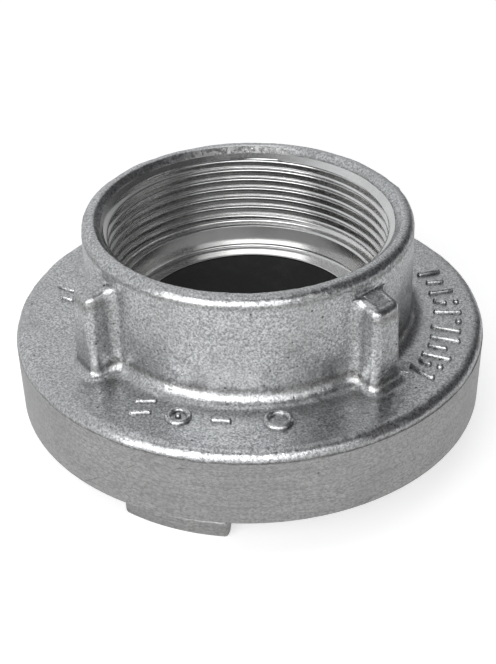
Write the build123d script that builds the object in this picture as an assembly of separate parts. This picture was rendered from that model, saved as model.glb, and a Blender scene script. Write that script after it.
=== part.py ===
"""Fixed half of a two-lug quarter-turn fire hose coupling, with a female pipe thread.

Frame: millimetres, +Z up along the coupling's axis, origin on the axis at the level of the
two lug ends that the part stands on.  The lugs lie on -Y and +Y, the threaded collar is on top.
Angles are in degrees, turned about +Z from -Y, so that +X is at 90.
"""

import os

from build123d import *

# ---- Bore, which the other radii are built around ---------------------------------------------
waterway_radius = 23.5
waterway_land = 0.25         # short straight edge of the shoulder's hole
shoulder_width = 3.5         # flat shoulder, from the waterway out to the smooth bore
shoulder_depth = 5.7         # from the step down to the shoulder
shoulder_corner = 0.8        # tool radius in the shoulder's corner
step_width = 1.33            # from the smooth bore out to the thread
step_chamfer = 0.4

# ---- Collar with the pipe thread, G 2, its turns made as rings ------------------------------------
thread_pitch = 2.309
thread_depth = 1.479
thread_land = 0.385          # flat between two grooves, and flat at the bottom of each
thread_flank_height = 0.77   # along the axis, for flanks at 27.5 degrees
thread_start = 1.81          # from the mouth to the middle of the first groove
thread_mouth_step = 1.37     # the mouth's chamfer, outwards from the minor radius
thread_chamfer_height = 1.3
thread_length = 16.6         # from the mouth to the step
collar_wall = 5.27           # outside the thread's minor radius, at the top
collar_draft = 0.4           # how much wider the collar is at its foot
collar_height = 22.85        # above the top of the flange
collar_edge_round = 1.95
collar_root_fillet = 3.0     # between the collar and the flange
collar_mouth_slope = 1.2     # outwards from the mouth, where the top turns down to the bore
collar_inner_drop = 1.45     # how much lower the bore's mouth lies than the crest

# ---- Face seal, and the hub that holds it ----------------------------------------------------
seal_width = 6.0             # from the waterway out to the wall of the seal's seat
seal_clearance = 0.1
seal_inner_step = 0.1        # how far the seal's inner wall stands back from the waterway
seal_proud = 0.4             # seal face in front of the ring's face
seal_edge_chamfer = 0.6
seal_bead_depth = 1.0        # bead that holds the seal in the hub's groove
seal_bead_height = 3.0
seal_bead_offset = 5.0       # from the hub's face to the middle of the bead
seal_groove_depth = 2.4      # groove that lets the water press the face out
seal_groove_height = 2.8
seal_groove_offset = 2.2     # from the seal's face to the groove
seal_web_thickness = 2.2     # wall between the seal's seat and the shoulder
hub_wall = 2.9
hub_recess = 0.6             # hub face behind the ring's face

# ---- Lugs and the locking ring -------------------------------------------------------------
lug_height = 9.0             # how far the lugs stand out past the ring's face
lug_clearance = 0.6          # between a hub and the mate's lugs
lug_neck_wall = 6.4          # from a lug's inner side to the back of its neck
lug_hook_reach = 4.3         # from the back of the neck to the outside of the hook
lug_head_height = 4.6        # thickness of the hook
lug_half_angle = 14.9        # half of each lug's width, as an angle
lug_edge_round = 1.0         # rounding of the hook's outer corners
lug_count = 2
edge_nearness = 0.001        # how near a wanted edge lies to its radius, as a share of it

lip_clearance = 0.9          # between the neck of the mate's lug and the lip it locks behind
lip_thickness = 3.9
channel_clearance = 1.3      # outside the hook of the mate's lug
notch_angle = 45.0           # from each lug to the notch that lets the mate's lug in
notch_clearance_angle = 2.6  # beyond the mate's lug, on each side
web_thickness = 4.8          # flange wall above the channel

ring_wall = 4.0              # wall outside the channel
ring_side_height = 14.5      # turned height of the flange's side
rim_round = 2.3              # cast rounding between the side and the top of the flange
ring_face_chamfer = 0.3      # turned edge at the foot of the side

# ---- Ribs for the wrench -------------------------------------------------------------------------
rib_angles = (-34.9, 62.8)   # each with a second one straight across
rib_depth = 5.4              # out of the collar, at the flange
rib_bedding = 3.4            # how far each rib starts inside the collar's wall
rib_width = 7.8              # at the flange
rib_height = 18.0            # above the top of the flange
rib_draft = 2.0              # taper, degrees
rib_corner_round = 2.0       # at the flange, narrowing with the draft
rib_top_round = 1.2
rib_root_fillet = 1.0

# ---- Radii that follow -----------------------------------------------------------------------
step_radius = waterway_radius + shoulder_width
thread_minor_radius = step_radius + step_width
thread_mouth_radius = thread_minor_radius + thread_mouth_step
collar_crest_radius = thread_mouth_radius + collar_mouth_slope
collar_top_radius = thread_minor_radius + collar_wall
collar_base_radius = collar_top_radius + collar_draft
rib_reach_radius = collar_base_radius + rib_depth

seal_inner_radius = waterway_radius + seal_inner_step
seat_radius = waterway_radius + seal_width
hub_radius = seat_radius + hub_wall
lug_inner_radius = hub_radius + lug_clearance
lug_neck_radius = lug_inner_radius + lug_neck_wall
lug_head_radius = lug_neck_radius + lug_hook_reach
lip_inner_radius = lug_neck_radius + lip_clearance
channel_radius = lug_head_radius + channel_clearance
ring_radius = channel_radius + ring_wall

# ---- Levels that follow ----------------------------------------------------------------------
ring_face_z = lug_height
lip_top_z = ring_face_z + lip_thickness
flange_side_top_z = ring_face_z + ring_side_height
flange_top_z = flange_side_top_z + rim_round
channel_roof_z = flange_top_z - web_thickness

collar_top_z = flange_top_z + collar_height
mouth_z = collar_top_z - collar_inner_drop
step_z = mouth_z - thread_length
shoulder_z = step_z - shoulder_depth

hub_face_z = ring_face_z + hub_recess
seat_top_z = shoulder_z - seal_web_thickness
bevel_size = seal_web_thickness - waterway_land
bead_z = hub_face_z + seal_bead_offset
seal_face_z = ring_face_z - seal_proud
seal_groove_z = seal_face_z + seal_groove_offset


def turned(outline):
    """Revolve a closed (radius, height) outline about the axis."""
    face = make_face(Plane.XZ * outline)
    return revolve(face, Axis.Z)


def band(inner, outer, low, high):
    """Outline of a plain ring between two radii and two levels."""
    return Polyline((inner, low), (outer, low), (outer, high), (inner, high), close=True)


def ring(inner, outer, low, high):
    """Plain ring between two radii and two levels."""
    return turned(band(inner, outer, low, high))


def sector(inner, outer, low, high, middle, half_angle):
    """Piece of a ring, half_angle degrees to each side of the middle angle."""
    start = middle - 90 - half_angle
    face = make_face(Plane.XZ * band(inner, outer, low, high))
    return Rot(0, 0, start) * revolve(face, Axis.Z, revolution_arc=2 * half_angle)


def spread(first, count):
    """Angles of evenly spaced copies, beginning at first."""
    return [first + 360 * step / count for step in range(count)]


def outer_casting():
    """Flange and collar with their cast roundings, still without the bore and the channel."""
    chamfer_start = (ring_radius - ring_face_chamfer, ring_face_z)
    chamfer_end = (ring_radius, ring_face_z + ring_face_chamfer)
    rim_start = (ring_radius, flange_side_top_z)
    rim_end = (ring_radius - rim_round, flange_top_z)
    root_start = (collar_base_radius + collar_root_fillet, flange_top_z)
    root_end = (collar_base_radius, flange_top_z + collar_root_fillet)
    edge_start = (collar_top_radius, collar_top_z - collar_edge_round)
    edge_end = (collar_top_radius - collar_edge_round, collar_top_z)
    mouth_edge = (thread_mouth_radius, mouth_z)
    outline = (
        Polyline((0, mouth_z), (0, ring_face_z), chamfer_start, chamfer_end, rim_start)
        + RadiusArc(rim_start, rim_end, -rim_round)
        + Line(rim_end, root_start)
        + RadiusArc(root_start, root_end, collar_root_fillet)
        + Line(root_end, edge_start)
        + RadiusArc(edge_start, edge_end, -collar_edge_round)
        + Polyline(edge_end, (collar_crest_radius, collar_top_z), mouth_edge, (0, mouth_z))
    )
    return turned(outline)


def bore_space():
    """What is bored away inside: thread mouth, thread's minor bore, smooth bore and waterway."""
    lowest = ring_face_z - seal_proud
    profile = Polyline(
        (0, mouth_z),
        (thread_mouth_radius, mouth_z),
        (thread_minor_radius, mouth_z - thread_chamfer_height),
        (thread_minor_radius, step_z),
        (step_radius + step_chamfer, step_z),
        (step_radius, step_z - step_chamfer),
        (step_radius, shoulder_z + shoulder_corner),
        (step_radius - shoulder_corner, shoulder_z),
        (waterway_radius, shoulder_z),
        (waterway_radius, lowest),
        (0, lowest),
        close=True,
    )
    return turned(profile)


def thread_grooves():
    """V grooves at the thread's pitch, one for each turn that fits between mouth and step."""
    deep_radius = thread_minor_radius + thread_depth
    half_land = thread_land / 2
    half_opening = half_land + thread_flank_height
    turns = int((thread_length - thread_start) / thread_pitch)
    grooves = []
    for turn in range(turns):
        middle = mouth_z - thread_start - turn * thread_pitch
        grooves.append(turned(Polyline(
            (step_radius, middle - half_opening),
            (thread_minor_radius, middle - half_opening),
            (deep_radius, middle - half_land),
            (deep_radius, middle + half_land),
            (thread_minor_radius, middle + half_opening),
            (step_radius, middle + half_opening),
            close=True,
        )))
    return grooves


def seal_seat_space():
    """Seat for the face seal, open at the hub's face, with the groove for the seal's bead."""
    seat = turned(Polyline(
        (0, ring_face_z),
        (seat_radius, ring_face_z),
        (seat_radius, seat_top_z),
        (waterway_radius + bevel_size, seat_top_z),
        (waterway_radius, seat_top_z + bevel_size),
        (0, seat_top_z + bevel_size),
        close=True,
    ))
    return seat + ring(seat_radius - seal_bead_depth, seat_radius + seal_bead_depth,
                       bead_z - seal_bead_height / 2, bead_z + seal_bead_height / 2)


def channel_space():
    """Channel for the mate's hooks, its open slot inside the lip, and the hub's set-back face."""
    channel = ring(hub_radius, channel_radius, lip_top_z, channel_roof_z)
    slot = ring(hub_radius, lip_inner_radius, ring_face_z, lip_top_z)
    set_back = ring(0, hub_radius, ring_face_z, hub_face_z)
    return channel + slot + set_back


def notch_spaces():
    """Gaps in the lip through which the mate's lugs drop into the channel."""
    half_angle = lug_half_angle + notch_clearance_angle
    return [
        sector(hub_radius, channel_radius, ring_face_z, lip_top_z, middle, half_angle)
        for middle in spread(notch_angle, lug_count)
    ]


def lug(middle):
    """One lug: a neck that grows from the channel's roof beside the hub, and a hook at its end."""
    bedding = hub_wall / 2
    base = sector(hub_radius - bedding, lug_neck_radius, hub_face_z,
                  channel_roof_z + web_thickness / 2, middle, lug_half_angle)
    neck = sector(lug_inner_radius, lug_neck_radius, 0, hub_face_z, middle, lug_half_angle)
    head = sector(lug_inner_radius, lug_head_radius, 0, lug_head_height, middle, lug_half_angle)
    head = fillet(outer_edges(head, lug_head_radius), lug_edge_round)
    return base + neck + head


def outer_edges(solid, radius):
    """Upright edges at a radius, and the lowest edge of the cylinder at that radius."""
    nearness = edge_nearness * radius
    chosen = []
    for edge in solid.edges():
        middle = edge.position_at(0.5)
        reach = (middle.X ** 2 + middle.Y ** 2) ** 0.5
        height = edge.bounding_box().size.Z
        if abs(reach - radius) < nearness and (height > nearness or middle.Z < nearness):
            chosen.append(edge)
    return chosen


def rib(middle):
    """One tapered block on the side of the collar, rounded at its corners and along its top."""
    buried_radius = collar_top_radius - rib_bedding
    length = rib_reach_radius - buried_radius
    plan = Pos(0, -length / 2) * Rectangle(rib_width, length)
    front = plan.vertices().sort_by(Axis.Y)[:2]
    plan = fillet(front, rib_corner_round)
    block = extrude(plan, rib_height, taper=rib_draft)
    foot = extrude(plan, -web_thickness / 2)
    top = block.faces().sort_by(Axis.Z)[-1]
    inner = top.edges().sort_by(Axis.Y)[-1]
    block = fillet([edge for edge in top.edges() if edge != inner], rib_top_round)
    return Rot(0, 0, middle) * Pos(0, -buried_radius, flange_top_z) * (block + foot)


def all_rib_angles():
    """Each named rib and the one straight across from it."""
    return [angle for first in rib_angles for angle in spread(first, 2)]


def coupling_body():
    """The one-piece casting with its turned faces."""
    body = outer_casting()
    for middle in all_rib_angles():
        block = rib(middle)
        joined = body + block
        body = fillet(new_edges(body, block, combined=joined), rib_root_fillet)
    body = body - bore_space() - seal_seat_space() - channel_space()
    for space in thread_grooves() + notch_spaces():
        body -= space
    for middle in spread(0, lug_count):
        body += lug(middle)
    return body


def face_seal():
    """Rubber ring in the hub, with a bead outside and a pressure groove inside."""
    outside = seat_radius - seal_clearance
    top = seat_top_z - seal_clearance
    tip = bevel_size - seal_clearance
    rise = top + (waterway_radius + tip - seal_inner_radius)
    body = turned(Polyline(
        (seal_inner_radius, seal_face_z),
        (outside - seal_edge_chamfer, seal_face_z),
        (outside, seal_face_z + seal_edge_chamfer),
        (outside, top),
        (waterway_radius + tip, top),
        (seal_inner_radius, rise),
        close=True,
    ))
    bead_half = seal_bead_height / 2 - seal_clearance
    bead = ring(outside - seal_bead_depth, outside + seal_bead_depth,
                bead_z - bead_half, bead_z + bead_half)
    groove = ring(0, seal_inner_radius + seal_groove_depth,
                  seal_groove_z, seal_groove_z + seal_groove_height)
    return body + bead - groove


os.makedirs("parts", exist_ok=True)
export_step(coupling_body(), "parts/coupling_body.step")
export_step(face_seal(), "parts/face_seal.step")
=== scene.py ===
"""Looks of the quarter-turn hose coupling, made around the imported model.

Shapes are worked out in millimetres as whole numpy arrays and go into the meshes in metres.
Angles are in degrees, turned about +Z from -Y, where the front lug is, so that +X is at 90.
"""

import math

import bmesh
import bpy
import numpy as np
from mathutils import Matrix, Vector


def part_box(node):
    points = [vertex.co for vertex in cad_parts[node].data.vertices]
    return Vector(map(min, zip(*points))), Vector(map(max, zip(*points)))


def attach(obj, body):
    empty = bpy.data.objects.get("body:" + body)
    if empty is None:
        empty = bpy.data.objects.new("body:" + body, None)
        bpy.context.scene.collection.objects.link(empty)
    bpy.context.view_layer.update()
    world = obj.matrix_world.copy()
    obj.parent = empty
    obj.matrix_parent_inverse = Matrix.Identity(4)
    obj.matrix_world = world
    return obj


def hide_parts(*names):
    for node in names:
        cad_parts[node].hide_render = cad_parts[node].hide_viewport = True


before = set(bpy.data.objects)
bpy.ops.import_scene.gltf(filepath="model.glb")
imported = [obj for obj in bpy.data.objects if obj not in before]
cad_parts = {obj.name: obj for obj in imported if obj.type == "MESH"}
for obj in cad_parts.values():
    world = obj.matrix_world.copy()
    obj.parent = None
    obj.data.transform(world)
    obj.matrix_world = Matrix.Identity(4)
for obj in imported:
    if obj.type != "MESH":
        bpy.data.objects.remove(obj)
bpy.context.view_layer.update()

MM = 0.001
body_high = np.array(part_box("coupling_body")[1]) / MM

# ---- Sizes in millimetres ----------------------------------------------------------------------
# Where the solids have the form too, these are their sizes, apart from the ribs'.
ring_radius = 49.0
ring_wall = 4.0
ring_face = 9.0
side_top = 23.5
rim_round = 2.3
flange_top = side_top + rim_round
web_thickness = 4.8
channel_roof = flange_top - web_thickness
lip_radius = 40.3
lip_thickness = 3.9
lip_top = ring_face + lip_thickness
notch_angle = 45.0
notch_half_angle = 17.5

collar_top = round(body_high[2], 2)
collar_top_radius = 33.6
collar_base_radius = 34.0
collar_edge_round = 1.95
collar_root = 3.0
crest_radius = 30.9
crest_drop = 0.08            # below the crest, where the slope from the mouth ends
crest_ease = 0.35            # from there outwards to the level crest
mouth_radius = 29.7
mouth_drop = 1.45
mouth = collar_top - mouth_drop

thread_minor = 28.33
thread_depth = 1.479
thread_pitch = 2.309
thread_flank = math.tan(math.radians(27.5))
thread_rounding = 0.06       # square of twice the depth that a corner's rounding has
thread_chamfer = 1.3
thread_flare = 0.4           # most that a groove may deepen for each millimetre below the mouth
thread_crest = 44.23         # height of one crest, at the angle that follows
thread_crest_angle = 201.1
thread_length = 16.6
run_out_height = 1.7         # above the step, where the thread grows shallow
run_out_share = 0.15         # of its depth, left at the step
step = mouth - thread_length
step_radius = 27.0
shoulder_depth = 5.7
shoulder = step - shoulder_depth
waterway = 23.5

hub_radius = 32.4
hub_recess = 0.6
hub_face = ring_face + hub_recess
seat_radius = 29.5
seal_web = 2.2
seat_top = shoulder - seal_web

lug_inner = 33.0
lug_neck = 39.4
lug_head = 43.7
lug_head_height = 4.6
lug_half_angle = 14.9
lug_end_round = 1.0

# The ribs are up to 0.7 mm larger than the solids', with larger fillets and sloping tops.
rib_angles = (-34.9, 62.8, 145.1, 242.8)
rib_half_width = 4.0
rib_reach = 39.7
rib_height = 18.7
rib_top = flange_top + rib_height
rib_slope = 0.18             # fall of the top for each millimetre outwards
rib_draft = math.tan(math.radians(2.0))
rib_corner = 1.8
rib_top_round = 1.5
rib_root = 0.5               # between the top and the collar
rib_foot = 1.9               # between the sides and the flange
rib_side_root = 2.2          # between the sides and the collar

# Casting: depth, length, number and random seed of the waves of its roughness, and how far it is
# set in, so that it stays inside the solids' box.
roughness_waves = ((0.030, 9.0, 40, 11), (0.012, 3.6, 60, 12), (0.012, 1.5, 80, 13))
roughness_set_in = 0.10
faced_angle = 203.0          # middle of the machined spot on the slope inside the crest
faced_half_angle = 17.0      # the spot is full to 0.6 of this and gone at 1.6

# Marks: a bar's foot and the middle of a ring's line lie a little below the flange's top.
mark_sink = 0.1
mark_height = 0.75           # above that
mark_skirt = 0.5             # lowest edge of a bar below the flange's top

# Columns of the cast surface: on each rib, and in a full turn between the ribs.
RIB_COLUMNS = 64
ARC_COLUMNS = 400


# ---- Meshes ------------------------------------------------------------------------------------
def new_mesh(name, points, blocks, material, sharp_angle=40.0, **measures):
    """Closed mesh from an (n, 3) array in millimetres and blocks of faces of one size each.
    Doubles are merged and normals turned outwards; a measure is one number for each point."""
    mesh = bpy.data.meshes.new(name)
    corners = np.concatenate([block.ravel() for block in blocks])
    sizes = np.concatenate([np.full(len(block), block.shape[1]) for block in blocks])
    mesh.vertices.add(len(points))
    mesh.vertices.foreach_set("co", (points * MM).astype(np.float32).ravel())
    mesh.loops.add(len(corners))
    mesh.loops.foreach_set("vertex_index", corners.astype(np.int32))
    mesh.polygons.add(len(sizes))
    mesh.polygons.foreach_set("loop_start", (np.cumsum(sizes) - sizes).astype(np.int32))
    mesh.update(calc_edges=True)
    for measure, values in measures.items():
        layer = mesh.attributes.new(measure, "FLOAT", "POINT")
        layer.data.foreach_set("value", values.astype(np.float32).ravel())
    weld(mesh)
    mesh.polygons.foreach_set("use_smooth", np.ones(len(mesh.polygons), dtype=bool))
    mesh.set_sharp_from_angle(angle=math.radians(sharp_angle))
    mesh.materials.append(material)
    piece = bpy.data.objects.new(name, mesh)
    bpy.context.scene.collection.objects.link(piece)
    return piece


def weld(mesh, distance=2e-6):
    """Merges points within a distance in metres, drops faces that closed up, and turns all normals
    outwards."""
    shape = bmesh.new()
    shape.from_mesh(mesh)
    bmesh.ops.remove_doubles(shape, verts=shape.verts, dist=distance)
    bmesh.ops.dissolve_degenerate(shape, edges=shape.edges, dist=distance)
    bmesh.ops.recalc_face_normals(shape, faces=shape.faces)
    shape.to_mesh(mesh)
    shape.free()


def grid_faces(rows, columns, closed_rows=False, closed_columns=True, first=0):
    """Quads of a grid of points; its rows and its columns may close on themselves."""
    row = np.arange(rows if closed_rows else rows - 1)
    column = np.arange(columns if closed_columns else columns - 1)
    here, across = np.meshgrid(row, column, indexing="ij")
    down, beside = (here + 1) % rows, (across + 1) % columns
    quads = np.stack([here * columns + across, down * columns + across,
                      down * columns + beside, here * columns + beside], axis=-1)
    return first + quads.reshape(-1, 4)


def place(radius, angle, height):
    """Points at radius, angle and height, whose arrays spread over one another: x is the radius
    times the sine of the angle, and y is minus the radius times its cosine."""
    turn = np.radians(angle)
    radius, turn, height = np.broadcast_arrays(radius, turn, height)
    return np.stack([radius * np.sin(turn), -radius * np.cos(turn), height], axis=-1)


def arc(centre, radius, start, end, count):
    """Points of an arc in the (radius, height) plane, angles measured from outwards to upwards."""
    turn = np.radians(np.linspace(start, end, count))
    return np.stack([centre[0] + radius * np.cos(turn),
                     centre[1] + radius * np.sin(turn)], axis=-1)


def straight(corners, spacing, near=0.08):
    """Straight stretches from corner to corner, divided evenly, with a point close beside each
    corner so that smooth shading stays within its stretch.  The last corner is left out."""
    corners = [np.array(corner, float) for corner in corners]
    stretches = []
    for start, end in zip(corners[:-1], corners[1:]):
        length = np.linalg.norm(end - start)
        edge = min(near, length / 4)
        inner = np.linspace(edge, length - edge, max(2, int(length / spacing) + 1))
        marks = np.concatenate([[0.0], inner])[:, None] / length
        stretches.append(start + (end - start) * marks)
    return np.vstack(stretches)


def smooth(share):
    """Smooth rise from 0 to 1: three times the square of the share less twice its cube."""
    share = np.clip(share, 0, 1)
    return share * share * (3 - 2 * share)


# ---- Roughness of the casting ------------------------------------------------------------------
def lumps(points, wavelength, waves, seed):
    """Random field of unit size: a sum of plane waves, each with its own direction and phase, and
    0.7 to 1.5 wavelengths long."""
    random = np.random.default_rng(seed)
    direction = random.normal(size=(waves, 3))
    direction /= np.linalg.norm(direction, axis=1, keepdims=True)
    number = 2 * np.pi / (wavelength * random.uniform(0.7, 1.5, (waves, 1)))
    phase = random.uniform(0, 2 * np.pi, waves)
    field = np.cos(points.reshape(-1, 3) @ (direction * number).T + phase).sum(axis=1)
    return field.reshape(points.shape[:-1]) / math.sqrt(waves / 2)


def outward_normals(points):
    """Unit normals of a grid whose columns go round, from the differences of its neighbours."""
    down = np.gradient(points, axis=0)
    beside = np.roll(points, -1, axis=1) - np.roll(points, 1, axis=1)
    normal = np.cross(down, beside)
    return normal / np.maximum(np.linalg.norm(normal, axis=-1, keepdims=True), 1e-9)


# ---- Plan outline of the collar with its ribs --------------------------------------------------
def column_table():
    """For each column: the angle of the rib that it lies on or comes after, the angle of the next
    rib, its share of the way across the rib or between the two, and whether it lies on a rib."""
    starts = np.array(rib_angles)
    ends = np.append(starts[1:], starts[0] + 360)
    counts = np.round(ARC_COLUMNS * (ends - starts) / 360).astype(int)
    home, goal, share, on_rib = [], [], [], []
    for start, end, count in zip(starts, ends, counts):
        home.append(np.full(RIB_COLUMNS + count, start))
        goal.append(np.full(RIB_COLUMNS + count, end))
        share.append(np.concatenate([np.arange(RIB_COLUMNS) / RIB_COLUMNS,
                                     np.arange(count) / count]))
        on_rib.append(np.arange(RIB_COLUMNS + count) < RIB_COLUMNS)
    return tuple(np.concatenate(part) for part in (home, goal, share, on_rib))


HOME, GOAL, SHARE, ON_RIB = column_table()
COLUMNS = len(HOME)
# Way from the collar, 0, to the middle of a rib's face, 1, and where on it the root, the side and
# the corner end.
RIB_WAY = np.where(ON_RIB, 1 - np.abs(2 * SHARE - 1), 0.0)
RIB_MARKS = (0.20, 0.45, 0.72)


def root_lean(radius, width, root):
    """Angle, in radians, from a rib's middle line to the centre of its root arc, which touches the
    collar's circle and the rib's side: its sine is width plus root over radius plus root."""
    return np.arcsin((width + root) / (radius + root))


def between_ribs(lean):
    """Angle of each column between two ribs: even, from lean past one to lean before the next."""
    return (HOME + lean) * (1 - SHARE) + (GOAL - lean) * SHARE


def half_rib(radius, width, reach, root, corner):
    """Half a rib from the collar (way 0) to the middle of its face (way 1): a concave root arc, the
    straight side, the rounded corner and half of the face, each on its own share of the way.
    Gives the distance along the rib's middle line and the distance from it."""
    foot, shoulder_way, face = RIB_MARKS
    lean = root_lean(radius, width, root)
    centre = (radius + root) * np.cos(lean)
    turn = np.pi + lean + (np.pi / 2 - lean) * np.clip(RIB_WAY / foot, 0, 1)
    along = np.clip((RIB_WAY - foot) / (shoulder_way - foot), 0, 1)
    bend = np.pi / 2 * (1 - np.clip((RIB_WAY - shoulder_way) / (face - shoulder_way), 0, 1))
    front = np.clip((RIB_WAY - face) / (1 - face), 0, 1)
    bent_out = reach - corner + corner * np.cos(bend)
    bent_side = (width - corner + corner * np.sin(bend)) * (1 - front)
    out = np.where(RIB_WAY < foot, centre + root * np.cos(turn),
                   np.where(RIB_WAY < shoulder_way, centre + (reach - corner - centre) * along,
                            bent_out))
    side = np.where(RIB_WAY < foot, width + root + root * np.sin(turn),
                    np.where(RIB_WAY < shoulder_way, width, bent_side))
    return out, side


def section(radius, width, reach, root, corner):
    """Plan outline of the collar with its ribs: half_rib and its mirror image on each rib, and
    between two ribs the collar's circle from the end of one root arc to the start of the next."""
    out, side = half_rib(radius, width, reach, root, corner)
    side = np.where(SHARE < 0.5, -side, side)
    home = np.radians(HOME)
    rib = np.stack(np.broadcast_arrays(out * np.sin(home) + side * np.cos(home),
                                       -out * np.cos(home) + side * np.sin(home)), axis=-1)
    angle = between_ribs(np.degrees(root_lean(radius, width, root)))
    return np.where(ON_RIB[:, None], rib, place(radius, angle, 0.0)[..., :2])


def bare_angles():
    """Angle of each column where the collar is bare: even across a rib's root and between ribs."""
    width = rib_sizes(rib_top)[0]
    lean = np.degrees(root_lean(collar_top_radius, width, rib_side_root))
    return np.where(ON_RIB, HOME - lean + 2 * lean * SHARE, between_ribs(lean))


def with_height(plan, height):
    """Adds a height to plan points."""
    height = np.broadcast_to(height, plan.shape[:-1])
    return np.concatenate([plan, height[..., None]], axis=-1)


def wall_radius(height):
    """The collar's outer radius, narrowing in a straight line from the flange to the top."""
    low, high = flange_top + collar_root, collar_top - collar_edge_round
    share = np.clip((height - low) / (high - low), 0, 1)
    return collar_base_radius + (collar_top_radius - collar_base_radius) * share


def rib_sizes(height):
    """Half width and reach of the ribs at a height, each less the draft times the rise."""
    rise = height - flange_top
    return rib_half_width - rib_draft * rise, rib_reach - rib_draft * rise


def rib_fall():
    """How far a rib's top has fallen at each column: its slope times the way out of the collar."""
    width, reach = rib_sizes(rib_top)
    out = half_rib(collar_top_radius, width, reach, rib_side_root, rib_corner)[0]
    return np.where(ON_RIB, rib_slope * np.maximum(out - collar_top_radius, 0), 0.0)


def even_rows(path, count):
    """Resamples each column of a (rows, columns, 3) grid at equal steps along its length, on the
    straight line between the points before and after."""
    steps = np.linalg.norm(np.diff(path, axis=0), axis=-1)
    length = np.vstack([np.zeros(path.shape[1]), np.cumsum(steps, axis=0)])
    wanted = np.linspace(0, 1, count)[:, None] * length[-1]
    before = (wanted[:, None] >= length[None, :-1]).sum(axis=1) - 1
    start = np.take_along_axis(length, before, axis=0)
    end = np.take_along_axis(length, before + 1, axis=0)
    share = ((wanted - start) / np.maximum(end - start, 1e-9))[..., None]
    low = np.take_along_axis(path, before[..., None], axis=0)
    high = np.take_along_axis(path, before[..., None] + 1, axis=0)
    return low * (1 - share) + high * share


# ---- Cast outside: collar, ribs and flange -----------------------------------------------------
def collar_cap():
    """Top of the collar, from the mouth up the slope, over the crest and round the outer edge."""
    centre = (collar_top_radius - collar_edge_round, collar_top - collar_edge_round)
    edge = arc(centre, collar_edge_round, 90, 0, 12)
    share = np.array([0, 0.1, 0.3, 0.5, 0.7, 0.85, 1.0])[:, None]
    slope_start = np.array([mouth_radius, mouth])
    slope_end = np.array([crest_radius, collar_top - crest_drop])
    slope = slope_start * (1 - share) + slope_end * share
    profile = np.vstack([slope, [(crest_radius + crest_ease, collar_top)], edge])
    return place(profile[:, :1], bare_angles(), profile[:, 1:])


def upper_wall(rows):
    """Collar wall above the ribs, the wall's radius at even heights."""
    height = np.linspace(collar_top - collar_edge_round, rib_top + rib_root, rows + 1)[1:, None]
    return place(wall_radius(height), bare_angles(), height)


def rib_shoulders(rows):
    """Where the ribs begin: a small concave quarter circle under the collar wall, the sloping top
    of the rib in straight lines, and a convex quarter circle down to the full outline.  Between the
    ribs it is plain wall."""
    quarter = np.linspace(0, 1, 9)[:, None]
    bend = np.pi / 2 * quarter
    on_rib = smooth(RIB_WAY / RIB_MARKS[0])
    width, reach = rib_sizes(rib_top)
    inset = rib_top_round * (1 - np.sin(bend)) * on_rib
    drop = rib_top_round * ((1 - np.cos(bend)) * on_rib + quarter * (1 - on_rib))
    plan = section(wall_radius(rib_top - drop), width - inset, reach - inset, rib_side_root,
                   rib_corner - 0.9 * inset)
    edges = with_height(plan, rib_top - rib_fall() - drop)

    bare = bare_angles()
    own = np.degrees(np.arctan2(edges[0, :, 0], -edges[0, :, 1]))
    turned = (own - bare + 180) % 360 - 180
    middle = smooth((RIB_WAY - 0.15) / 0.45)
    height = rib_top + rib_root * (1 - np.sin(bend) * middle - quarter * (1 - middle))
    bulge = rib_root * (1 - np.cos(bend)) * middle
    roots = place(wall_radius(height) + bulge, bare + turned * smooth(quarter), height)

    across = np.linspace(0, 1, 12)[1:-1, None, None]
    tops = roots[-1] * (1 - across) + edges[0] * across
    return even_rows(np.concatenate([roots, tops, edges]), rows + 1)[1:]


def fillet_size():
    """Height of the root fillet at each column: the collar's own, smaller round the ribs."""
    return collar_root + (rib_foot - collar_root) * smooth((RIB_WAY - 0.06) / 0.3)


def lower_wall(rows):
    """Collar and ribs from the ribs' top edge down to where the root fillets begin: the plan
    outline at even steps of height."""
    foot = flange_top + fillet_size()
    share = np.linspace(0, 1, rows + 1)[1:, None]
    height = (rib_top - rib_fall() - rib_top_round) * (1 - share) + foot * share
    width, reach = rib_sizes(height)
    plan = section(wall_radius(height), width, reach, rib_side_root, rib_corner)
    return with_height(plan, height)


def root_fillets(rows):
    """Concave fillets from the collar and the ribs into the top of the flange: the outline grows
    by one less the cosine of the bend while it sinks by its sine."""
    bend = np.pi / 2 * np.linspace(0, 1, rows + 1)[1:, None]
    out = 1 - np.cos(bend)
    width, reach = rib_sizes(flange_top + rib_foot)
    plan = section(collar_base_radius + collar_root * out, width + rib_foot * out,
                   reach + rib_foot * out, rib_side_root, rib_corner + rib_foot * out)
    return with_height(plan, flange_top + fillet_size() * (1 - np.sin(bend)))


def flange_plate(foot, rows):
    """Flat top of the flange: straight lines from the fillets' foot to the start of the rim."""
    own = np.degrees(np.arctan2(foot[:, 0], -foot[:, 1]))
    even = own[0] + 360.0 * np.arange(COLUMNS) / COLUMNS
    own = even + (own - even + 180) % 360 - 180
    rim_start = place(ring_radius - rim_round, 0.35 * own + 0.65 * even, flange_top)
    share = np.linspace(0, 1, rows + 1)[1:, None, None]
    return foot * (1 - share) + rim_start * share


def cast_rim(plate_end, rows):
    """Round edge of the flange, a quarter circle down to where the turned side begins, and the
    angle of each of its columns."""
    angle = np.degrees(np.arctan2(plate_end[:, 0], -plate_end[:, 1]))
    profile = arc((ring_radius - rim_round, side_top), rim_round, 90, 0, rows + 1)[1:]
    profile = np.vstack([profile, [(ring_radius - 0.03, side_top - 0.07)]])
    return place(profile[:, :1], angle, profile[:, 1:]), angle


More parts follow.
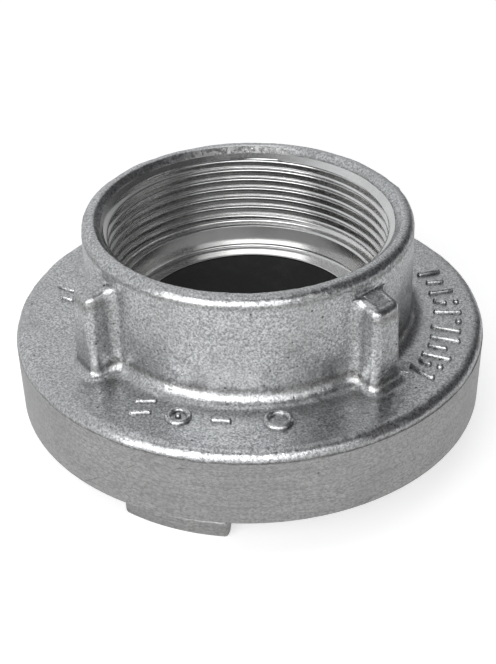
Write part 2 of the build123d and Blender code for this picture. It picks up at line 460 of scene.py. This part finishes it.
def hidden_lining(angle):
    """Inner side of the cast skin, a turned profile inside the wall from the rim to the mouth."""
    outer = np.array([(ring_radius - 0.8, side_top - 0.12), (ring_radius - 3.0, flange_top - 1.5),
                      (collar_base_radius + 0.6, flange_top - 1.5),
                      (collar_base_radius - 1.6, flange_top)])
    inner = np.array([(collar_top_radius - 1.6, collar_top - 3.4),
                      (mouth_radius + 1.2, collar_top - 2.8), (mouth_radius + 0.25, mouth - 0.3)])
    return np.concatenate([place(outer[:, :1], angle, outer[:, 1:]),
                           place(inner[:, :1], bare_angles(), inner[:, 1:])])


def band(rows, middle, half_width):
    """Weight of each row: 1 at the middle row, falling smoothly to 0 half_width rows away."""
    return smooth(1 - np.abs(np.arange(rows) - middle) / half_width)


def cast_skin(material):
    """Cast outside of the collar, ribs and flange, ring by ring from the mouth over the collar to
    the rim, pushed in along its normals by the roughness of the mould.  Painted shade darkens the
    creases, the edges of the roundings and the ribs' concave roots, and faced marks the machined
    spot on the slope inside the crest."""
    cap, upper, shoulders = collar_cap(), upper_wall(rows=6), rib_shoulders(rows=26)
    lower, roots = lower_wall(rows=30), root_fillets(rows=10)
    plate = flange_plate(roots[-1], rows=28)
    rim, rim_angle = cast_rim(plate[-1], rows=12)
    parts = [cap, upper, shoulders, lower, roots, plate, rim]
    outside = np.concatenate(parts)
    rows = len(outside)
    cap_end, _, shoulders_end, lower_end, roots_end = np.cumsum([len(part) for part in parts[:5]])
    slope_rows = 7

    angle = np.degrees(np.arctan2(outside[..., 0], -outside[..., 1])) % 360
    faced = smooth(1.6 - np.abs(angle - faced_angle) / faced_half_angle) \
        * (np.arange(rows) < slope_rows)[:, None]
    relief = sum(depth * lumps(outside, wavelength, waves, seed)
                 for depth, wavelength, waves, seed in roughness_waves)
    relief = np.maximum(relief + roughness_set_in, 0) * (1 - faced)
    relief[0] *= 0.2
    outside = outside - outward_normals(outside) * relief[..., None]
    outside[..., 2] = np.minimum(outside[..., 2], collar_top)

    # Painted shade: darker bands along the creases and the edges of the roundings, and in the
    # concave roots beside the ribs.
    on_rib = smooth(RIB_WAY / 0.12) * smooth((0.34 - RIB_WAY) / 0.12)
    on_sides = smooth((np.arange(rows) - shoulders_end) / 4) * (np.arange(rows) < roots_end)
    creases = ((0.8, 0, 2.0), (0.5, cap_end - 1.0, 3.0), (0.55, lower_end - 0.5, 3.0),
               (0.8, rows - 1.5, 3.0))
    crease = sum(strength * band(rows, row, reach) for strength, row, reach in creases)[:, None]
    crease = crease + 0.5 * band(rows, shoulders_end + 0.5, 3.0)[:, None] * smooth(RIB_WAY / 0.3)
    tarnish = np.clip(crease * (1 - faced) + 0.35 * on_rib * on_sides[:, None], 0, 1)

    lining = hidden_lining(rim_angle)
    points = np.concatenate([outside, lining])
    hidden = np.zeros(lining.shape[:2])
    faces = grid_faces(len(points), COLUMNS, closed_rows=True)
    return new_mesh("cast_skin", points.reshape(-1, 3), [faces], material, 60.0,
                    tarnish=np.concatenate([tarnish, hidden]),
                    faced=np.concatenate([faced, hidden]))


# ---- Thread and bore ---------------------------------------------------------------------------
def thread_radius(height, turn):
    """Radius of the female thread: minor radius plus a V of the place within the pitch, with flanks
    at 27.5 degrees and rounded corners; cut by the mouth's chamfer and run out above the step."""
    phase = ((height - thread_crest) / thread_pitch - turn + thread_crest_angle / 360) % 1.0
    away = np.abs(phase - 0.5) * thread_pitch
    half_opening = thread_depth / 2 * thread_flank + thread_pitch / 4
    depth = (half_opening - away) / thread_flank
    depth = 0.5 * (depth + np.sqrt(depth * depth + thread_rounding))
    gap = thread_depth - depth
    depth = thread_depth - 0.5 * (gap + np.sqrt(gap * gap + thread_rounding))
    grown = smooth((height - step) / run_out_height)
    depth = depth * (run_out_share + (1 - run_out_share) * grown)
    thread = np.minimum(thread_minor + depth, mouth_radius + thread_flare * (mouth - height))
    chamfer = mouth_radius - (mouth - height) * (mouth_radius - thread_minor) / thread_chamfer
    return np.maximum(thread, chamfer)


def threaded_bore(material):
    """Bore from the mouth to the waterway, with its thread.  The rows of the thread's grid follow
    the helix: a row's height falls by an even step and rises by one pitch over a full turn, so that
    the last column joins the first one a pitch's rows further up.  Below it, and back up inside the
    wall, a profile is turned about the axis."""
    columns, per_pitch = 480, 18
    drop = thread_pitch / per_pitch
    rows = int(np.ceil((mouth - step + drop + thread_pitch) / drop)) + 2
    turn = np.arange(columns) / columns
    height = mouth + drop * (1 - np.arange(rows)[:, None]) + thread_pitch * turn
    height = np.clip(height, step, mouth)
    thread = place(thread_radius(height, turn), 360 * turn, height)

    lining_radius = mouth_radius + 1.4
    profile = np.vstack([
        straight([(thread_minor - 0.02, step), (step_radius + 0.4, step),
                  (step_radius, step - 0.4), (step_radius, shoulder + 0.8)], 0.6),
        arc((step_radius - 0.8, shoulder + 0.8), 0.8, 0, -90, 7),
        straight([(step_radius - 0.86, shoulder), (waterway + 0.15, shoulder),
                  (waterway, shoulder - 0.12), (waterway, shoulder - 0.24),
                  (waterway + 1.9, shoulder - 2.15), (step_radius + 2, shoulder - 1.0),
                  (lining_radius, shoulder + 1.5), (lining_radius, mouth - 3.0),
                  (mouth_radius + 0.05, mouth - 0.12)], 1.5)])
    lower = place(profile[:, :1], 360 * turn, profile[:, 1:])

    quads = grid_faces(rows, columns).reshape(rows - 1, columns, 4)
    seam = quads[per_pitch:, -1] - np.array([0, 0, per_pitch, per_pitch]) * columns
    below = grid_faces(len(profile), columns, first=rows * columns)
    here = np.arange(columns)
    beside = (here + 1) % columns
    last, first = (rows - 1) * columns, rows * columns
    end = (rows + len(profile) - 1) * columns
    bridge = np.stack([last + here, first + here, first + beside, last + beside], axis=-1)
    top = np.stack([end + here, here, beside, end + beside], axis=-1)
    points = np.concatenate([thread, lower]).reshape(-1, 3)
    faces = [quads[:, :-1].reshape(-1, 4), seam, below, bridge, top]
    return new_mesh("threaded_bore", points, faces, material, 50.0)


# ---- Locking ring ------------------------------------------------------------------------------
def locking_ring(material):
    """Turned side of the flange with the ring's face, the lip, the channel and the hub: a profile
    turned about the axis, whose lip jumps out to the channel's wall where the mate's lugs drop
    in."""
    notches = np.array([notch_angle, notch_angle + 180])
    ends = [notches + side * notch_half_angle + slip for side in (-1, 1) for slip in (-0.02, 0.02)]
    angle = np.unique(np.concatenate([np.arange(0, 360, 1.0)] + ends))
    in_notch = np.abs((angle - notch_angle + 90) % 180 - 90) < notch_half_angle
    channel = ring_radius - ring_wall

    face = straight([(ring_radius - 1.5, side_top - 0.6), (ring_radius - 0.35, side_top + 0.12),
                     (ring_radius, side_top - 0.12), (ring_radius, ring_face + 0.3),
                     (ring_radius - 0.3, ring_face), (ring_radius - 3.7, ring_face)], 1.6)
    lip = np.array([(0.25, ring_face), (0.17, ring_face), (0, ring_face + 0.17),
                    (0, ring_face + 0.25), (0, lip_top - 0.25), (0, lip_top - 0.15),
                    (0.15, lip_top), (0.25, lip_top)])
    inside = straight([(channel, lip_top), (channel, channel_roof), (hub_radius, channel_roof),
                       (hub_radius, hub_face + 0.3), (hub_radius - 0.3, hub_face),
                       (seat_radius + 0.2, hub_face), (seat_radius, hub_face + 0.2),
                       (seat_radius, seat_top), (seat_radius - 3.0, seat_top),
                       (seat_radius - 2.0, seat_top + 1.2), (hub_radius - 0.5, flange_top - 2.2),
                       (ring_radius - 2.0, flange_top - 2.2), (ring_radius - 1.5, side_top - 0.6)],
                      2.0)
    lip_radii = lip[:, :1] + np.where(in_notch, channel, lip_radius)
    fixed = np.ones(len(angle))
    radius = np.concatenate([face[:, :1] * fixed, lip_radii, inside[:, :1] * fixed])
    height = np.concatenate([face, lip, inside])[:, 1:]
    faces = grid_faces(len(radius), len(angle), closed_rows=True)
    points = place(radius, angle, height).reshape(-1, 3)
    return new_mesh("locking_ring", points, [faces], material, 30.0)


# ---- Lugs --------------------------------------------------------------------------------------
def rounded_loop(corners, moves, sizes, bends=7, between=4):
    """Closed outline with a quarter circle of bends points at each corner and points between them,
    and for each point the way that it moves when the outline shrinks, which passes evenly from
    corner to corner."""
    corners, moves = np.array(corners, float), np.array(moves, float)
    size = np.array(sizes)[:, None, None]
    after = np.roll(corners, -1, axis=0) - corners
    after /= np.linalg.norm(after, axis=1, keepdims=True)
    before = np.roll(after, 1, axis=0)
    bend = np.linspace(0, np.pi / 2, bends)[None, :, None]
    centre = corners[:, None] + size * (after - before)[:, None]
    arcs = centre + size * (before[:, None] * np.sin(bend) - after[:, None] * np.cos(bend))
    share = np.linspace(0, 1, between + 2)[None, 1:-1, None]
    runs = arcs[:, -1:] * (1 - share) + np.roll(arcs[:, :1], -1, axis=0) * share
    arc_moves = np.repeat(moves[:, None], bends, axis=1)
    run_moves = moves[:, None] * (1 - share) + np.roll(moves, -1, axis=0)[:, None] * share
    loop = np.concatenate([arcs, runs], axis=1).reshape(-1, 2)
    return loop, np.concatenate([arc_moves, run_moves], axis=1).reshape(-1, 2)


def lug(name, middle, material):
    """One lug: the outline of neck and hook swept round the axis.  Towards each end the outline
    shrinks along a quarter circle, and a fan closes it."""
    loop, moves = rounded_loop(
        [(lug_inner, 0), (lug_head, 0), (lug_head, lug_head_height), (lug_neck, lug_head_height),
         (lug_neck, channel_roof + 0.6), (lug_inner, channel_roof + 0.6)],
        [(1, 1), (-1, 1), (-1, -1), (-1, -1), (-1, 0), (1, 0)],
        [0.6, 1.3, 0.9, 0.5, 0.2, 0.2])
    bend = np.radians(np.linspace(0, 90, 9))
    reach = math.degrees(lug_end_round / lug_head)
    end = lug_half_angle - reach * (1 - np.sin(bend[::-1]))
    inner = np.linspace(reach - lug_half_angle, lug_half_angle - reach, 25)[1:-1]
    angle = np.concatenate([-end, inner, end[::-1]])
    shrink = lug_end_round * (1 - np.cos(bend))
    inset = np.concatenate([shrink[::-1], np.zeros(len(inner)), shrink])
    outline = loop[:, None] + moves[:, None] * inset[:, None]
    points = place(outline[..., 0], middle + angle, outline[..., 1])

    count, columns = points.shape[:2]
    sides = grid_faces(count, columns, closed_rows=True, closed_columns=False)
    here = np.arange(count)
    after = (here + 1) % count
    tip = count * columns
    caps = [np.stack([here * columns + column, after * columns + column,
                      np.full(count, tip + number)], axis=-1)
            for number, column in enumerate((0, columns - 1))]
    fan_radius, fan_height = 36.0, 2.3
    tips = place(fan_radius, middle + angle[[0, -1]], fan_height)
    return new_mesh(name, np.vstack([points.reshape(-1, 3), tips]), [sides] + caps, material)


# ---- Raised marks on the flange ----------------------------------------------------------------
def raised_bar(radius, angle, length, width, turned):
    """Round-ended bar: a capsule outline that narrows to its middle line along an upright
    quarter ellipse, with a skirt below the surface.  Turned is its angle to the tangent."""
    columns = 28
    around = np.arange(columns) * 2 * np.pi / columns
    rise = np.radians(np.array([0, 12, 25, 38, 50, 62, 74, 82, 90]))[:, None]
    spread = np.cos(rise) ** 0.7 * width / 2
    half_line = np.sign(np.cos(around)) * (length - width) / 2
    skirt = np.stack([half_line, np.zeros(columns)], axis=-1)
    bar = np.stack([spread * np.cos(around) + half_line, spread * np.sin(around)], axis=-1)
    plan = np.concatenate([skirt[None], bar])
    level = flange_top - mark_sink + mark_height * np.sin(rise)
    level = np.concatenate([[[flange_top - mark_skirt]], level])
    return on_flange(plan, level, radius, angle, turned), grid_faces(len(plan), columns)


def raised_ring(radius, angle, size, width):
    """Round ring: an ellipse as wide as the ring's line, carried round a circle of its size."""
    columns, rows = 40, 14
    around = np.arange(columns) * 2 * np.pi / columns
    bend = (np.arange(rows) * 2 * np.pi / rows)[:, None]
    reach = size + width / 2 * np.cos(bend)
    plan = np.stack([reach * np.cos(around), reach * np.sin(around)], axis=-1)
    level = flange_top - mark_sink + mark_height * np.sin(bend)
    faces = grid_faces(rows, columns, closed_rows=True)
    return on_flange(plan, level, radius, angle, 0.0), faces


def on_flange(plan, level, radius, angle, turned):
    """Puts plan points round their own middle onto the flange, turned from the tangent."""
    lean = math.radians(angle + turned)
    centre = place(radius, angle, 0.0)[:2]
    spot_x = centre[0] + plan[..., 0] * math.cos(lean) - plan[..., 1] * math.sin(lean)
    spot_y = centre[1] + plan[..., 0] * math.sin(lean) + plan[..., 1] * math.cos(lean)
    return np.stack(np.broadcast_arrays(spot_x, spot_y, level), axis=-1)


def cast_marks(material):
    """Plain raised marks in the three places where such a casting carries them: rings, bars and
    pips, which are bars about as long as they are wide."""
    marks = [raised_ring(39.4, 28.3, 2.3, 1.3), raised_bar(39.3, 12.8, 4.0, 1.2, 0),
             raised_ring(39.8, 1.0, 2.0, 1.25), raised_bar(39.8, 1.0, 1.2, 1.2, 0),
             raised_bar(38.2, -10.4, 4.4, 1.2, 32), raised_bar(41.6, -9.0, 4.4, 1.2, 32)]
    long_bars = ((74.5, 41.6, 6.2, 78), (79.0, 40.6, 3.0, 80), (83.0, 41.8, 6.2, 96),
                 (87.5, 41.0, 4.2, 90), (92.0, 41.8, 6.4, 90), (97.0, 41.4, 6.4, 84),
                 (106.0, 41.6, 6.0, 92), (111.5, 40.4, 3.2, 60), (117.0, 41.4, 5.6, 96),
                 (122.5, 41.2, 4.0, 84), (128.0, 41.4, 5.4, 90))
    marks += [raised_bar(radius, angle, length, 1.25, turned)
              for angle, radius, length, turned in long_bars]
    marks += [raised_bar(43.8, angle, 1.5, 1.4, 0) for angle in (79.0, 101.5, 111.5)]
    marks += [raised_bar(40.5, -81.0, 5.0, 1.2, 70), raised_bar(39.3, -75.5, 3.6, 1.2, 70)]
    blocks, first = [], 0
    for grid, faces in marks:
        blocks.append(faces + first)
        first += grid.shape[0] * grid.shape[1]
    points = np.concatenate([grid.reshape(-1, 3) for grid, _ in marks])
    # Painted shade: each mark darkens towards its foot, where it meets the flange.
    dark_height = 0.12
    tarnish = 0.55 * smooth((flange_top + dark_height - points[:, 2]) / dark_height)
    return new_mesh("cast_marks", points, blocks, material, 60.0,
                    tarnish=tarnish, faced=np.zeros(len(points)))


# ---- Shader maths ------------------------------------------------------------------------------
class Field:
    """A number that varies over a surface, held as a shader socket; arithmetic adds Math nodes."""

    def __init__(self, finish, socket):
        self.finish = finish
        self.socket = socket

    def maths(self, operation, first, second):
        """Field of an operation on two fields or numbers."""
        return self.finish.node("ShaderNodeMath", {"operation": operation}, {0: first, 1: second})

    def __add__(self, other):
        return self.maths("ADD", self, other)

    def __sub__(self, other):
        return self.maths("SUBTRACT", self, other)

    def __rsub__(self, other):
        return self.maths("SUBTRACT", other, self)

    def __mul__(self, other):
        return self.maths("MULTIPLY", self, other)

    __radd__ = __add__
    __rmul__ = __mul__

    def at_least(self, other):
        """The larger of the two."""
        return self.maths("MAXIMUM", self, other)

    def rise(self, start, end, low=0.0, high=1.0):
        """Smooth step from low at start to high at end."""
        return self.finish.node("ShaderNodeMapRange", {"interpolation_type": "SMOOTHSTEP"},
                                {"Value": self, "From Min": start, "From Max": end,
                                 "To Min": low, "To Max": high})


class Finish:
    """A tree of shader nodes under construction: fields of noise and colour, and the sockets that
    they feed.  Without a tree of its own it starts a new material."""

    mix_colours = (6, 7)
    mix_result = 2

    def __init__(self, name, tree=None):
        if tree is None:
            self.material = bpy.data.materials.new(name)
            self.material.use_nodes = True
            tree = self.material.node_tree
        self.tree = tree
        self.shader = tree.nodes.get("Principled BSDF")
        self.place = self.node("ShaderNodeTexCoord", {}, {}, "Object") if self.shader else None

    def node(self, kind, settings, values, output=0):
        """Adds a node: its settings first, then the values or links of its sockets."""
        node = self.tree.nodes.new(kind)
        for setting, value in settings.items():
            setattr(node, setting, value)
        for socket, value in values.items():
            self.feed(node.inputs[socket], value)
        return Field(self, node.outputs[output])

    def feed(self, socket, value):
        """Links a field to a socket, or sets the socket's own value."""
        if isinstance(value, Field):
            self.tree.links.new(value.socket, socket)
        elif isinstance(value, tuple) and len(value) == 3 and socket.type == "RGBA":
            socket.default_value = (*value, 1.0)
        else:
            socket.default_value = value

    def stretched(self, across, up, place=None):
        """Place multiplied by one number across the axis and by another along it."""
        return self.node("ShaderNodeVectorMath", {"operation": "MULTIPLY"},
                         {0: self.place if place is None else place, 1: (across, across, up)})

    def noise(self, wavelength, detail=2.0, roughness=0.5, place=None):
        """Fractal noise of a wavelength in millimetres, from 0 to 1."""
        return self.node("ShaderNodeTexNoise", {},
                         {"Vector": self.place if place is None else place,
                          "Scale": 1 / (wavelength * MM), "Detail": detail, "Roughness": roughness})

    def cells(self, wavelength, feature="F1", place=None):
        """Distance to the nearest of scattered points, or to the edge between two, in parts of
        their spacing."""
        return self.node("ShaderNodeTexVoronoi", {"feature": feature},
                         {"Vector": self.place if place is None else place,
                          "Scale": 1 / (wavelength * MM)}, "Distance")

    def measure(self, name):
        """A number that the mesh carries at its points."""
        return self.node("ShaderNodeAttribute", {"attribute_name": name}, {}, "Fac")

    def mix(self, share, first, second):
        """Colour between two colours."""
        values = {0: share, self.mix_colours[0]: first, self.mix_colours[1]: second}
        return self.node("ShaderNodeMix", {"data_type": "RGBA"}, values, self.mix_result)

    def bumps(self, height, depth, before=None):
        """Normal of a relief whose height of 1 stands for a depth in millimetres."""
        values = {"Height": height, "Distance": depth * MM, "Strength": 1.0}
        if before is not None:
            values["Normal"] = before
        return self.node("ShaderNodeBump", {}, values)

    def paint(self, **sockets):
        """Feeds the shader's sockets, named in lower case."""
        for name, value in sockets.items():
            self.feed(self.shader.inputs[name.replace("_", " ").title()], value)
        return self.material


# ---- Finishes ----------------------------------------------------------------------------------
def cast_aluminium():
    """Cast aluminium: grainy and sparkling, with pits, soft stains, painted shade in the creases
    and a bright machined spot inside the crest."""
    finish = Finish("cast_aluminium")
    grain = finish.noise(0.32, 2.0, 0.6)
    crumple = finish.noise(1.3, 3.0, 0.55)
    sweep = finish.noise(4.0, 2.0)
    pits = finish.cells(1.9).rise(0.15, 0.06) * finish.noise(5.0).rise(0.42, 0.6)
    stain = finish.noise(10.0, 3.0, 0.6).rise(0.40, 0.68)
    # Painted shade: the creases and edges that the mesh marks turn near black and a little rougher.
    crease = finish.measure("tarnish") * finish.noise(0.9, 3.0, 0.6).rise(0.3, 0.6, 0.5, 1.0)
    faced = finish.measure("faced")
    fleck = finish.noise(0.43, 3.0, 0.72).rise(0.34, 0.68)
    silver = finish.mix(fleck, (0.27, 0.275, 0.28), (0.74, 0.75, 0.76))
    silver = finish.mix(stain * 0.35, silver, (0.38, 0.38, 0.375))
    silver = finish.mix(pits * 0.85, silver, (0.06, 0.057, 0.054))
    silver = finish.mix(crease, silver, (0.05, 0.043, 0.037))
    relief = grain * 0.25 + crumple * 0.75 - pits * 0.5
    fine = finish.bumps(relief, 0.115)
    return finish.paint(base_color=finish.mix(faced, silver, (0.80, 0.80, 0.80)), metallic=1.0,
                        roughness=(finish.noise(0.9, 2.0).rise(0.3, 0.7, 0.27, 0.40)
                                   + crease * 0.2 - faced * 0.06),
                        normal=finish.bumps(sweep, 0.10, fine))


def turned_aluminium(name, colour, contrast, roughness, streak_depth, wear):
    """Turned aluminium: fine streaks round the axis, a soft satin sheen and dull patches, and with
    wear small nicks and a few scratches."""
    finish = Finish(name)
    streaks = finish.noise(0.55, 3.0, 0.7, finish.stretched(0.03, 1.0))
    broad = finish.noise(2.2, 2.0, 0.5, finish.stretched(0.08, 1.0))
    mottle = finish.noise(0.40, 4.0, 0.75, finish.stretched(0.6, 1.0))
    cloud = finish.noise(8.0, 3.0, 0.6).rise(0.35, 0.7)
    nicks = finish.cells(4.2).rise(0.10, 0.03) * finish.noise(9.0).rise(0.48, 0.60) * wear
    slant = finish.node("ShaderNodeVectorRotate", {"rotation_type": "AXIS_ANGLE"},
                        {"Vector": finish.place, "Axis": (0.3, 0.9, 0.2), "Angle": 0.6})
    scratch_lines = finish.cells(3.2, "DISTANCE_TO_EDGE", finish.stretched(0.06, 1.0, slant))
    scratches = scratch_lines.rise(0.012, 0.003) * finish.noise(7.0).rise(0.53, 0.64) * wear
    speckle = (streaks * 0.2 + mottle * 0.8).rise(0.32, 0.68)
    tone = finish.mix(speckle, tuple((1 - contrast) * part for part in colour),
                      tuple((1 + contrast) * part for part in colour))
    tone = finish.mix(cloud * 0.35, tone, tuple(0.80 * part for part in colour))
    tone = finish.mix(nicks.at_least(scratches * 0.7) * 0.7, tone, (0.13, 0.125, 0.12))
    relief = streaks * 0.35 + broad * 0.3 + mottle * 0.35 - nicks * 1.6 - scratches * 1.0
    return finish.paint(base_color=tone, metallic=1.0, anisotropic=0.6,
                        roughness=mottle.rise(0.3, 0.7, roughness - 0.05, roughness + 0.07),
                        normal=finish.bumps(relief, streak_depth))


def black_rubber():
    """Black rubber: matt, with a fine leathery grain and a little dust."""
    finish = Finish("black_rubber")
    grain = finish.noise(0.5, 3.0, 0.6)
    dust = finish.noise(5.0, 4.0, 0.65).rise(0.5, 0.8)
    black = finish.mix(dust * 0.35, (0.03, 0.03, 0.031), (0.085, 0.083, 0.08))
    return finish.paint(base_color=black, metallic=0.0, roughness=grain.rise(0.3, 0.7, 0.50, 0.66),
                        normal=finish.bumps(grain, 0.03))


def white_floor():
    """White paper: it shows white to the eye and in the metal, and keeps the coupling's shadow."""
    finish = Finish("white_paper")
    seen = finish.node("ShaderNodeLightPath", {}, {}, "Is Camera Ray")
    mirrored = finish.node("ShaderNodeLightPath", {}, {}, "Is Glossy Ray").at_least(
        finish.node("ShaderNodeLightPath", {}, {}, "Is Transmission Ray"))
    fibre = finish.noise(0.8, 3.0)
    glow = finish.mix(seen + mirrored * 0.3, (0, 0, 0), (0.54, 0.54, 0.54))
    return finish.paint(base_color=finish.mix(fibre, (0.74, 0.74, 0.74), (0.78, 0.78, 0.78)),
                        metallic=0.0, roughness=0.9, emission_color=glow, emission_strength=1.0)


cast = cast_aluminium()
satin = turned_aluminium("turned_aluminium", (0.40, 0.40, 0.397), contrast=0.36, roughness=0.48,
                         streak_depth=0.050, wear=1.0)
bright = turned_aluminium("threaded_aluminium", (0.70, 0.70, 0.695), contrast=0.05, roughness=0.20,
                          streak_depth=0.004, wear=0.0)

# ---- Pieces ------------------------------------------------------------------------------------
metal_pieces = [cast_skin(cast), cast_marks(cast), threaded_bore(bright), locking_ring(satin),
                lug("lug_front", 0, satin), lug("lug_back", 180, satin)]
for piece in metal_pieces:
    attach(piece, "root")
    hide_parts("coupling_body")

rubber = black_rubber()
for material_slot in bpy.data.objects["face_seal"].material_slots:
    material_slot.material = rubber

# ---- Floor, light and camera -------------------------------------------------------------------
edge = 3.0
floor_corners = [(-edge, -edge, 0), (edge, -edge, 0), (edge, edge, 0), (-edge, edge, 0)]
floor_mesh = bpy.data.meshes.new("floor")
floor_mesh.from_pydata(floor_corners, [], [(0, 1, 2, 3)])
floor_mesh.materials.append(white_floor())
floor = bpy.data.objects.new("floor", floor_mesh)
bpy.context.scene.collection.objects.link(floor)

# A grey room with one light wall behind at the left; the eye sees it white.
window_direction = (-0.85, 0.33, 0.41)
world = bpy.data.worlds.new("studio")
bpy.context.scene.world = world
world.use_nodes = True
studio = Finish("studio", world.node_tree)
direction = studio.node("ShaderNodeTexCoord", {}, {}, "Generated")
window = studio.node("ShaderNodeVectorMath", {"operation": "DOT_PRODUCT"},
                     {0: direction, 1: window_direction}, "Value")
room = studio.mix(window.rise(0.0, 0.85), (0.07, 0.07, 0.073), (0.80, 0.81, 0.82))
seen = studio.node("ShaderNodeLightPath", {}, {}, "Is Camera Ray")
background = world.node_tree.nodes["Background"]
studio.feed(background.inputs["Color"], studio.mix(seen, room, (1, 1, 1)))


def outwards(azimuth, elevation):
    """Direction away from the coupling, its azimuth turned from the front lug towards +X."""
    rise = math.radians(elevation)
    turn = Matrix.Rotation(math.radians(azimuth), 3, "Z")
    return turn @ Vector((0, -math.cos(rise), math.sin(rise)))


def softbox(name, azimuth, elevation, distance, width, height, radiance):
    """Rectangular lamp that faces the coupling, its lengths in metres.  Its power is pi times its
    area times its radiance."""
    lamp = bpy.data.lights.new(name, "AREA")
    lamp.shape = "RECTANGLE"
    lamp.size, lamp.size_y = width, height
    lamp.energy = math.pi * width * height * radiance
    toward = outwards(azimuth, elevation)
    holder = bpy.data.objects.new(name, lamp)
    holder.location = Vector((0, 0, 0.02)) + toward * distance
    holder.rotation_mode = "QUATERNION"
    holder.rotation_quaternion = (-toward).to_track_quat("-Z", "Y")
    bpy.context.scene.collection.objects.link(holder)


softbox("key", azimuth=4, elevation=26, distance=0.8, width=1.00, height=0.64, radiance=3.1)
softbox("right", azimuth=54, elevation=26, distance=0.8, width=0.30, height=0.5, radiance=1.3)
softbox("top", azimuth=10, elevation=85, distance=1.0, width=0.6, height=0.4, radiance=0.8)
softbox("low", azimuth=-20, elevation=8, distance=0.8, width=0.32, height=0.16, radiance=6.0)

# The camera looks down on the coupling from the side of the front lug.
camera_azimuth = 21.1
camera_elevation = 33.945
camera_roll = -1.115
camera_distance = 0.25991
back = outwards(camera_azimuth, camera_elevation)
turn = Matrix.Rotation(math.radians(camera_azimuth), 3, "Z")
look_at = turn @ Vector((-0.000372, 0, 0.01922))
camera_data = bpy.data.cameras.new("camera")
camera_data.lens = 65.59
camera_data.sensor_width = 36
camera_data.clip_start, camera_data.clip_end = 0.01, 20
camera = bpy.data.objects.new("camera", camera_data)
camera.rotation_mode = "QUATERNION"
upright = (-back).to_track_quat("-Z", "Y").to_matrix()
roll = Matrix.Rotation(math.radians(camera_roll), 3, "Z")
camera.rotation_quaternion = (upright @ roll).to_quaternion()
camera.location = look_at + back * camera_distance
bpy.context.scene.collection.objects.link(camera)
bpy.context.scene.camera = camera
bpy.context.scene.view_settings.view_transform = "Standard"
